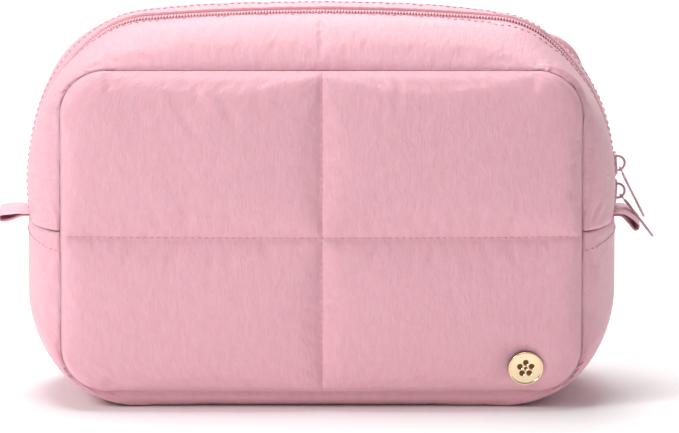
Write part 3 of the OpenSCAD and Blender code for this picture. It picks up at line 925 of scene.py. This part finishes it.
sideHigh = bag["panelTop"] - bag["panelCorner"] - bag["sideSeam"]
sideEnd = 3 - gusset["seamGap"] / sideHigh
bandU = evenly(crestLine, -sideEnd, sideEnd, gusset["step"])
bandGrid = zipBand(bandU[:, None], np.linspace(0, 1, 27)[None, :])
bandSkin, bandInner, bandOut = gussetSkins("zip_band", bandU, bandGrid, lambda d: [d], 11)
for side, turn, bend in (("front", 1, bendFront), ("rear", toRear, bendRear)):
    band = closedPiece(side + "_zip_gusset", bandSkin * turn, bandInner * turn, True, turnMap=True)
    dress(band, pinkNylon)
    bend(band)
    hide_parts(side + "_zip_band", side + "_band_wadding", side + "_band_ends")

baseGap = gusset["seamGap"] / 50
baseU = evenly(crestLine, 3 + baseGap, 9 - baseGap, gusset["step"])
baseGrid = baseBand(baseU[:, None], np.linspace(0, 2, 57)[None, :])
baseSkin, baseInner, baseOut = gussetSkins("base_band", baseU, baseGrid, lambda d: [d, d.max() - d], 21)
base = dress(closedPiece("base_gusset", baseSkin, baseInner, True, turnMap=True), pinkNylon)
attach(base, "base")
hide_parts("base_band", "base_wadding")

# Topstitching beside the zip and below both side seams
for side, turn, bend in (("front", 1, bendFront), ("rear", toRear, bendRear)):
    column = bandSkin.shape[1] - 7
    path, up = bandSkin[4:-4, column], bandOut[4:-4, column]
    bend(stitches(side + "_zip_topstitch", path * turn, up * turn))
for side, row in (("right", 6), ("left", -7)):
    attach(stitches(side + "_seam_topstitch", baseSkin[row, 4:-4], baseOut[row, 4:-4]), "base")
print("gussets made")

# How far the lining lies inside a panel's outline, a gusset and the panel seam
lining = {"inset": 6.6, "depth": 5.6, "behind": 0.1}

panelLining = finer(flat[::2, ::2])
liningHigh = mix(bag["panelMiddle"], panelLining[..., 2], 1 - lining["inset"] / bag["panelReach"])
panelLining = np.stack([panelLining[..., 0] * (1 - lining["inset"] / bag["panelHalf"]),
                        np.full(panelLining.shape[:2], -bag["seamY"] + lining["behind"]), liningHigh], -1)
bandLining = zipBand(bandU[::2, None], np.linspace(0.02, 0.99, 22)[None, :], lining["depth"])
baseLining = baseBand(baseU[::2, None], np.linspace(0.02, 1.98, 44)[None, :], lining["depth"])


def liningPiece(name, p, nodes, hold):
    piece = closedPiece(name, p, p - gridNormalsOut(p) * bag["lining"], False)
    dress(piece, liningCloth)
    cells = np.cross(p[1:, :-1] - p[:-1, :-1], p[:-1, 1:] - p[:-1, :-1])
    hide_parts(*nodes)
    hold(piece)


for side, turn, bend, panelSide in (("front", 1, bendFront, "front"), ("rear", toRear, bendRear, "back")):
    nodes = [panelSide + "_lining_lower", panelSide + "_lining_upper"]
    liningPiece(side + "_panel_lining", panelLining * turn, nodes, bend)
    nodes = [side + "_band_lining"]
    liningPiece(side + "_gusset_lining", bandLining * turn, nodes, bend)
rideBase = lambda piece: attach(piece, "base")
liningPiece("base_gusset_lining", baseLining, ["base_lining"], rideBase)
print("lining made")

zipper = {
    "pitch": 1.35,
    "wire": 0.33,
    "reach": 1.62,         # how far a coil's turns reach across, and where its middle is
    "middle": 1.32,
    "high": 1.05,
    "tapeThick": 0.5,
    "tapeIn": 2.2,         # a tape's two edges, from the middle of the chain
    "tapeOut": 13.0,
    "tapeLow": 0.35,       # how far the tape lies inside the chain's line
    "tapeDip": 0.9,        # and how much farther under the folded edge, which starts at "fold"
    "fold": 8.4,
    "coilStart": 2.6,      # from the chain's end to the first turn of the coil
}


sideRun = math.radians(chain["shoulderAngle"] - chain["stop"]) * sideR
shoulderRun = math.radians(topAngle - chain["shoulderAngle"]) * shR
wholeChain = 2 * (sideRun + shoulderRun + math.radians(90 - topAngle) * topR)


# Points and outward directions of the whole chain by distance from its lower right end
def chainAt(s):
    back = s > wholeChain / 2
    d = np.where(back, wholeChain - s, s)
    a1 = chain["stop"] + np.degrees(d / sideR)
    a2 = chain["shoulderAngle"] + np.degrees((d - sideRun) / shR)
    a3 = topAngle + np.degrees((d - sideRun - shoulderRun) / topR)
    onSide, onShoulder = d < sideRun, d < sideRun + shoulderRun
    a = np.where(onSide, a1, np.where(onShoulder, a2, a3))
    p = np.where(onSide[..., None], onCircle(sideC, sideR, a1),
                 np.where(onShoulder[..., None], onCircle(shC, shR, a2), onCircle(topC, topR, a3)))
    n = onCircle((0, 0), 1, a)
    mirror = np.where(back[..., None], np.array([-1.0, 1.0]), 1.0)
    return p * mirror, n * mirror


# A point s along the chain, y towards the rear and h outwards from it
def alongChain(s, y, h):
    p, n = chainAt(s)
    q = p + n * h[..., None]
    return np.stack([q[..., 0], np.broadcast_to(y, s.shape), q[..., 1]], -1)


def coil(name, sign, phase):
    turns = int((wholeChain - 2 * zipper["coilStart"]) / zipper["pitch"])
    perTurn, sides = 9, 5
    t = np.arange(turns * perTurn + 1) / perTurn
    angle = 2 * np.pi * t
    s = zipper["coilStart"] + (t + phase) * zipper["pitch"]
    y = -sign * (zipper["middle"] + zipper["reach"] * np.cos(angle))
    h = zipper["high"] * np.sin(angle) * (0.8 + 0.2 * np.cos(angle))
    centre = alongChain(s, y, h)
    along = unit(np.gradient(centre, axis=0))
    n = chainAt(s)[1]
    out = np.stack([n[:, 0], np.zeros(len(s)), n[:, 1]], -1)
    side = unit(np.cross(along, out))
    up = np.cross(side, along)
    a = np.arange(sides) * 2 * np.pi / sides
    ring = np.cos(a)[None, :, None] * side[:, None] + np.sin(a)[None, :, None] * up[:, None]
    return dress(ringBody(name, centre[:, None] + zipper["wire"] * ring), coilNylon)


def tape(name, sign):
    s = np.linspace(0.2, wholeChain - 0.2, 300)[:, None]
    y = np.linspace(zipper["tapeIn"], zipper["tapeOut"], 9)[None, :]
    lower = -zipper["tapeLow"] - zipper["tapeDip"] * np.clip((y - zipper["fold"]) / 3, 0, 1)
    s, y, lower = np.broadcast_arrays(s, y, lower)
    outer = alongChain(s, -sign * y, lower + zipper["tapeThick"] / 2)
    inner = alongChain(s, -sign * y, lower - zipper["tapeThick"] / 2)
    return dress(closedPiece(name, outer, inner, False), tapeCloth)


for side, sign, phase, bend in (("front", 1, 0.0, bendFront), ("rear", -1, 0.5, bendRear)):
    piece = coil(side + "_zip_coil", sign, phase)
    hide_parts(side + "_coil", side + "_coil_ends")
    bend(piece)
    piece = tape(side + "_woven_tape", sign)
    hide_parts(side + "_zip_tape", side + "_tape_ends")
    bend(piece)
    wholeChain * metre
print("zip made")

hardware = {
    "sliders": {"upper": 4.3, "lower": -4.5},       # angles of their middles on the side arc
    "plate": (4.75, 4.7, 1.3, 2.25),                # half length, half width, thickness, middle's height
    "crown": (3.2, 0.55),                           # radius of the bend and of the wire
    "crownX": sideC[0] + sideR + 2.9,
    "pull": {"length": 23.5, "width": 3.6, "thick": 0.95},
    "lean": {"upper": 26.5, "lower": 37.0},
    "aside": {"upper": -2.4, "lower": 2.4},
}


# A rounded plate: rings of one outline, drawn in along its own normals where the edge is rounded;
# place(along, across, height) puts it in space
def plate(name, outline, thick, edge, place):
    d = np.roll(outline, -1, axis=0) - np.roll(outline, 1, axis=0)
    n = unit(np.stack([d[:, 1], -d[:, 0]], -1))
    n *= np.sign((n * (outline - outline.mean(0))).sum())
    a = np.radians(np.linspace(-90, 90, 9))
    inset = np.concatenate([[edge * 2.2], edge * (1 - np.cos(a)), [edge * 2.2]])
    height = np.concatenate([[-thick / 2], np.sin(a) * edge + np.sign(a) * (thick / 2 - edge), [thick / 2]])
    flatRings = outline[None] - n[None] * inset[:, None, None]
    along, across = flatRings[..., 0], flatRings[..., 1]
    return ringBody(name, place(along, across, height[:, None] + 0 * along))


# A closed outline whose half width changes along it: |y| is (1 - |x|^n)^(1/n)
def superOutline(halfLength, halfWidth, n, taper=0.0, count=64):
    a = np.linspace(0, 2 * np.pi, count, endpoint=False)
    c, w = np.cos(a), np.sin(a)
    x = halfLength * np.sign(c) * np.abs(c) ** (2 / n)
    y = halfWidth * np.sign(w) * np.abs(w) ** (2 / n) * (1 - taper * x / halfLength)
    return np.stack([x, y], -1)


def onArc(angle):
    middle = math.radians(angle - chain["stop"]) * sideR

    def place(along, across, height):
        p, n = chainAt(middle + along)
        q = p + n * height[..., None]
        return np.stack([q[..., 0], across, q[..., 1]], -1)
    return place


def sliderBody(which):
    halfLength, halfWidth, thick, high = hardware["plate"]
    place = onArc(hardware["sliders"][which])
    lift = lambda dh, dy=0.0, ds=0.0: lambda s, y, h: place(s + ds, y + dy, h + dh)
    flange = superOutline(halfLength * 0.92, 0.42, 6)
    parts = [plate("outer_plate", superOutline(halfLength, halfWidth, 4.5, 0.1), thick, 0.45, lift(high)),
             plate("inner_plate", superOutline(halfLength, halfWidth, 4.5, 0.1), thick, 0.4, lift(-high)),
             plate("post", superOutline(1.8, 0.45, 2.5), 3.6, 0.2, lift(0, 0, 2.4))]
    for dy in (-1, 1):
        for dh in (-1, 1):
            parts.append(plate("flange", flange, 1.0, 0.25, lift(dh * 1.25, dy * (halfWidth - 0.5))))
    return dress(joined(which + "_slider_body", parts), pinkEnamel)


def crownHeight(which):
    return sideC[1] + sideR * math.sin(math.radians(hardware["sliders"][which]))


# A wire bent to a half circle whose feet run into the plate
def crownWire(which):
    bend, wire = hardware["crown"]
    a = np.radians(np.linspace(-90, 90, 25))
    x = hardware["crownX"] + np.concatenate([[-0.9, -0.4], bend * np.cos(a), [-0.4, -0.9]])
    z = crownHeight(which) + np.concatenate([[-bend, -bend], bend * np.sin(a), [bend, bend]])
    centre = np.stack([x, 0 * x, z], -1)
    along = unit(np.gradient(centre, axis=0))
    side = np.cross(along, rearward)
    t = np.linspace(0, 2 * np.pi, 14, endpoint=False)
    wide = wire * np.concatenate([[1.5, 1.35], np.ones(25), [1.35, 1.5]])[:, None, None]
    circle = np.cos(t)[None, :, None] * side[:, None] + np.sin(t)[None, :, None] * rearward
    rings = centre[:, None] + wide * circle
    return dress(ringBody(which + "_crown_wire", rings), pinkEnamel)


# A flat bar with a collar round its eye, which hangs from the crown's wire
def pullBar(which):
    bend = hardware["crown"][0]
    size, lean, aside = hardware["pull"], math.radians(hardware["lean"][which]), hardware["aside"][which]
    out = np.array([math.sin(lean), 0, -math.cos(lean)])
    face = np.array([math.cos(lean), 0, math.sin(lean)])
    start = np.array([hardware["crownX"], 0, crownHeight(which)])

    def place(along, across, height):
        return start + along[..., None] * out + across[..., None] * rearward + height[..., None] * face

    eyeEnd = 1.6           # the bar starts this far past the wire
    long = (bend + size["length"] - (bend + eyeEnd)) / 2
    outline = superOutline(long, size["width"] / 2, 5)
    along = outline[:, 0] + bend + eyeEnd + long
    neck = np.clip((along - bend - eyeEnd) / 2.4, 0, 1)
    neck = neck * neck * (3 - 2 * neck)
    across = outline[:, 1] * mix(0.62, 1, neck) + aside * neck
    bar = plate("bar", np.stack([along, across], -1), size["thick"], 0.3, place)
    t, v = np.linspace(0, 2 * np.pi, 33)[:-1, None], np.linspace(0, 2 * np.pi, 11)[None, :-1]
    ringR = 1.15 + 0.36 * np.cos(v)
    collar = torus("collar", place(bend + ringR * np.cos(t), ringR * np.sin(t), 0.42 * np.sin(v) + 0 * t))
    small = superOutline(size["width"] * 0.9, size["width"] * 0.22, 2.6)
    small = small + np.array([bend + size["length"] - 6.4, aside])
    inlay = plate("inlay", small, size["thick"] + 0.16, 0.08, place)
    return dress(joined(which + "_pull_bar", [bar, collar, inlay]), pinkEnamel)


for which in ("upper", "lower"):
    for piece, body, node in ((sliderBody(which), which + "_slider", which + "_slider"),
                              (crownWire(which), which + "_slider", which + "_slider_crown"),
                              (pullBar(which), which + "_pull", which + "_pull")):
        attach(piece, body)
        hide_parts(node)


# The end stops are small crimped blocks across both coils
def endStop(side):
    middle = 1.15

    def place(s, y, h):
        return alongChain(middle + s, 0, h) * np.array([side, 1, 1]) + y[..., None] * rearward
    return plate("stop", superOutline(1.1, 3.0, 5), 2.8, 0.5, place)


stops = dress(joined("crimped_end_stops", [endStop(1), endStop(-1)]), pinkEnamel)
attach(stops, "base")
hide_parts("zip_end_stops")
print("sliders and pulls made")

# A point of the medallion by its distance from the axis, the angle round it and the height over the panel
def onBadge(radius, angle, height):
    local = np.stack(np.broadcast_arrays(radius * np.cos(angle), -height, radius * np.sin(angle)), -1)
    return np.array(badge["at"]) + local @ badgeTurn.T


around = np.linspace(0, 2 * np.pi, 161)[:-1][None, :]


# The rim's section is turned round the axis: a plain wall with rounded edges
def badgeRim():
    r, w, h = badge["radius"], badge["rim"], badge["high"]
    section = np.array([[r - w, 0.0], [r - 0.2, -0.1], [r, 0.15], [r, h - 0.45],
                        [r - 0.06, h - 0.2], [r - 0.2, h - 0.06], [r - 0.42, h],
                        [r - 0.62, h - 0.05], [r - 0.8, h - 0.2], [r - w, h - 0.45]])
    return torus("medallion_ring", onBadge(section[:, :1], around, section[:, 1:]))


# The face is a shallow dome with a sunk blossom: five round petals and a round middle
def badgeFace():
    r = badge["radius"] - badge["rim"] + 0.05
    radius = np.linspace(0.02, r, 90)[:, None]
    height = badge["high"] - 0.42 - 0.25 * (radius / r) ** 2 + 0 * around
    across, up = radius * np.cos(around), radius * np.sin(around)
    petals = [np.hypot(across - 2.7 * math.sin(t), up - 2.7 * math.cos(t)) - 1.25
              for t in np.arange(5) * 0.4 * math.pi]
    step = lambda d: 1 / (1 + np.exp(-d / 0.07))
    height = height - 0.4 * step(-np.minimum.reduce(petals + [radius - 0.8 + 0 * around]))
    front = onBadge(radius, around, height)
    back = onBadge(np.array([[r], [0.02]]), around, np.array([[0.2], [0.2]]))
    return ringBody("medallion_disc", np.concatenate([front, back]))


for piece, node in ((badgeRim(), "medallion_rim"), (badgeFace(), "medallion_face")):
    dress(piece, paleGold)
    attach(piece, "base")
    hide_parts(node)
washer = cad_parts["medallion_washer"]
washer.data.materials.clear()
washer.data.materials.append(paleGold)
print("medallion made")

strap = {
    "width": 25.0,
    "length": 11.2,
    "half": 1.9,           # half the height of the folded strap
    "thick": 0.8,
    "tucked": 3.2,         # the part inside the side seam
    "bend": 3.5,
    "out": 2.7,            # from the bag's half width to the strap's root, and the root's height
    "high": 81.6,
}


# A strap folded back on itself: a long U seen from the front, with a slight wave along its width
def loopStrap(side, way, droop, seed):
    a = np.radians(np.linspace(-90, 90, 15))
    r = strap["half"] - strap["thick"] / 2
    runs = np.linspace(-strap["tucked"], strap["length"] - strap["half"], 14)
    closed = strap["thick"] / 2 + 0.05
    apart = closed + (r - closed) * np.sin(np.clip(runs / runs[-1], 0, 1) * np.pi / 2)
    tip = np.stack([runs[-1] + r * np.cos(a), r * np.sin(a)], -1)
    upper = np.stack([runs, -apart], -1)
    lower = np.stack([runs, apart], -1)[::-1]
    middle = np.concatenate([upper[:-1], tip, lower[1:]])
    d = np.gradient(middle, axis=0)
    n = unit(np.stack([d[:, 1], -d[:, 0]], -1))
    y = np.linspace(-strap["width"] / 2, strap["width"] / 2, 27)
    wave = Noise(seed)(y[None, :] / 9 + 3, middle[:, :1] / 6 + 2) * 0.35 * np.clip(middle[:, :1] / 5, 0, 1)
    # the strap leaves the seam level and bends down over its first few millimetres
    fine = np.linspace(-6, 16, 441)
    bent = np.radians(droop) * np.clip(fine / strap["bend"], 0, 1)
    step = np.concatenate([[0], np.diff(fine)])
    lineX, lineZ = np.cumsum(step * np.cos(bent)), np.cumsum(-step * np.sin(bent))
    lineX -= np.interp(0, fine, lineX)
    root = way * (bag["halfWidth"] + strap["out"])
    edge = roundRise(strap["width"] / 2 - np.abs(y), 0.8)

    def place(offset):
        along = middle[:, :1] + n[:, :1] * (offset * edge[None, :])
        high = middle[:, 1:] + n[:, 1:] * (offset * edge[None, :]) + wave
        angle = np.interp(along, fine, bent)
        x = np.interp(along, fine, lineX) + high * np.sin(angle)
        z = np.interp(along, fine, lineZ) + high * np.cos(angle)
        return np.stack([root + way * x, np.broadcast_to(y[None, :], x.shape), strap["high"] + z], -1)

    piece = closedPiece(side + "_side_loop", place(strap["thick"] / 2), place(-strap["thick"] / 2), False)
    dress(piece, loopNylonPaintedLighter)
    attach(piece, side + "_loop")
    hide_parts(side + "_loop")


loopStrap("left", -1, 12, 5)
loopStrap("right", 1, 45, 8)
print("loops made")

studio = {
    "floor": "FFFFFF",
    "air": 0.27,
    "aim": np.array([0.0080, 0, 0.0784]),
    "distance": 4.5,
    "span": 303.0,         # width of the picture at the aim, in millimetres
    "elevation": 11.0,
}
floorMesh = bpy.data.meshes.new("studio_floor")
floorMesh.from_pydata([(-6, -6, 0), (6, -6, 0), (6, 6, 0), (-6, 6, 0)], [], [(0, 1, 2, 3)])
floor = linked("studio_floor", floorMesh)
floor.location.z = -0.0002
paint = Paint("pale_floor")
floorMesh.materials.append(paint.finish(Base_Color=colour(studio["floor"]), Roughness=0.9))

world = bpy.data.worlds.new("studio_air")
world.use_nodes = True
air = world.node_tree.nodes["Background"].inputs
air["Color"].default_value = colour("FFFFFF")
air["Strength"].default_value = studio["air"]
bpy.context.scene.world = world
bpy.context.scene.view_settings.view_transform = "Standard"


# A round lamp that faces a point
def softbox(name, place, aim, size, watts):
    light = bpy.data.lights.new(name, "AREA")
    light.shape, light.size, light.energy = "DISK", size, watts
    lamp = linked(name, light)
    lamp.location = place
    direction = np.array(aim, float) - np.array(place, float)
    fromUnder = math.acos(-direction[2] / np.linalg.norm(direction))
    lamp.rotation_euler = (fromUnder, 0, math.atan2(-direction[0], direction[1]))
    bpy.context.view_layer.update()


softbox("key_light", (-0.9, -0.62, 0.75), (0, 0, 0.08), 0.45, 6.2)
softbox("top_light", (-0.2, 0.1, 1.9), (0, 0.1, 0.1), 1.2, 24)
softbox("back_light", (0.1, 1.3, 1.3), (0, 0.9, 0), 0.9, 12)

tilt = math.radians(studio["elevation"])
camera = linked("camera", bpy.data.cameras.new("camera"))
camera.data.sensor_width = 36
camera.data.lens = 36 * studio["distance"] / (studio["span"] * metre)
camera.data.clip_end = 50
camera.location = studio["aim"] + studio["distance"] * np.array([0, -math.cos(tilt), math.sin(tilt)])
camera.rotation_euler = (math.pi / 2 - tilt, 0, 0)
bpy.context.scene.camera = camera
